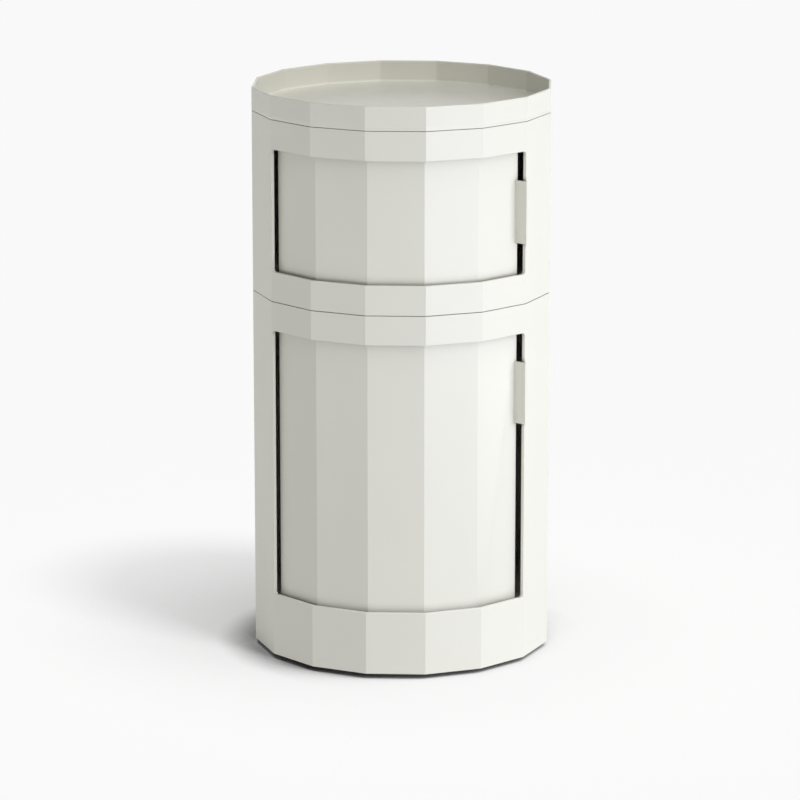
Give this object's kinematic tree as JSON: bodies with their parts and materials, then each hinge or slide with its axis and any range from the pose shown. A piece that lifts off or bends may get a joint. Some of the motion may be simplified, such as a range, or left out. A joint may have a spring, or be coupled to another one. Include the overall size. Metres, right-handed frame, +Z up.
{
  "type": "round side cabinet",
  "caption": "Faceted round side cabinet: stacked moulded modules with bent doors that slide round inside the wall on pull tabs, and a lift-off tray top.",
  "frame": {"origin": "centre of the footprint, on the ground under the feet", "axes": "+Z up along the cabinet's axis, -Y out of the doors, +X to the viewer's right"},
  "size_m": [0.31, 0.31, 0.6],
  "materials": {
    "body_plastic": "smooth glossy moulding, warm off-white",
    "door_plastic": "smooth glossy moulding, warm off-white",
    "inner_plastic": "fine matte moulding, off-white",
    "glide_plastic": "natural white acetal",
    "foot_rubber": "matte black",
    "screw_steel": "zinc plated"
  },
  "bodies": {
    "cabinet": {"upper_shell": "body_plastic", "upper_floor": "inner_plastic", "upper_header": "inner_plastic", "upper_header_screw_1": "screw_steel", "upper_header_screw_2": "screw_steel", "upper_header_screw_3": "screw_steel", "upper_floor_screw_1": "screw_steel", "upper_floor_screw_2": "screw_steel", "upper_floor_screw_3": "screw_steel", "lower_shell": "body_plastic", "lower_floor": "inner_plastic", "lower_header": "inner_plastic", "lower_header_screw_1": "screw_steel", "lower_header_screw_2": "screw_steel", "lower_header_screw_3": "screw_steel", "lower_floor_screw_1": "screw_steel", "lower_floor_screw_2": "screw_steel", "lower_floor_screw_3": "screw_steel", "joining_screw_1": "screw_steel", "joining_screw_2": "screw_steel", "joining_screw_3": "screw_steel", "foot_1": "foot_rubber", "foot_2": "foot_rubber", "foot_3": "foot_rubber", "foot_4": "foot_rubber", "foot_screw_1": "screw_steel", "foot_screw_2": "screw_steel", "foot_screw_3": "screw_steel", "foot_screw_4": "screw_steel"},
    "upper_door": {"upper_door": "door_plastic", "upper_door_glide_left": "glide_plastic", "upper_door_glide_right": "glide_plastic", "upper_door_guide_left": "glide_plastic", "upper_door_guide_right": "glide_plastic"},
    "lower_door": {"lower_door": "door_plastic", "lower_door_glide_left": "glide_plastic", "lower_door_glide_right": "glide_plastic", "lower_door_guide_left": "glide_plastic", "lower_door_guide_right": "glide_plastic"},
    "tray": {"tray_top": "body_plastic"}
  },
  "joints": [
    {"name": "upper_door_slide", "type": "hinge", "parent": "cabinet", "child": "upper_door", "pos_m": [0, 0, 0.48], "axis": [0, 0, -1], "range_deg": [0, 108.5]},
    {"name": "lower_door_slide", "type": "hinge", "parent": "cabinet", "child": "lower_door", "pos_m": [0, 0, 0.21], "axis": [0, 0, -1], "range_deg": [0, 108.5]},
    {"name": "tray_lift", "type": "slide", "parent": "cabinet", "child": "tray", "axis": [0, 0, 1], "range_m": [0, 0.06]}
  ]
}
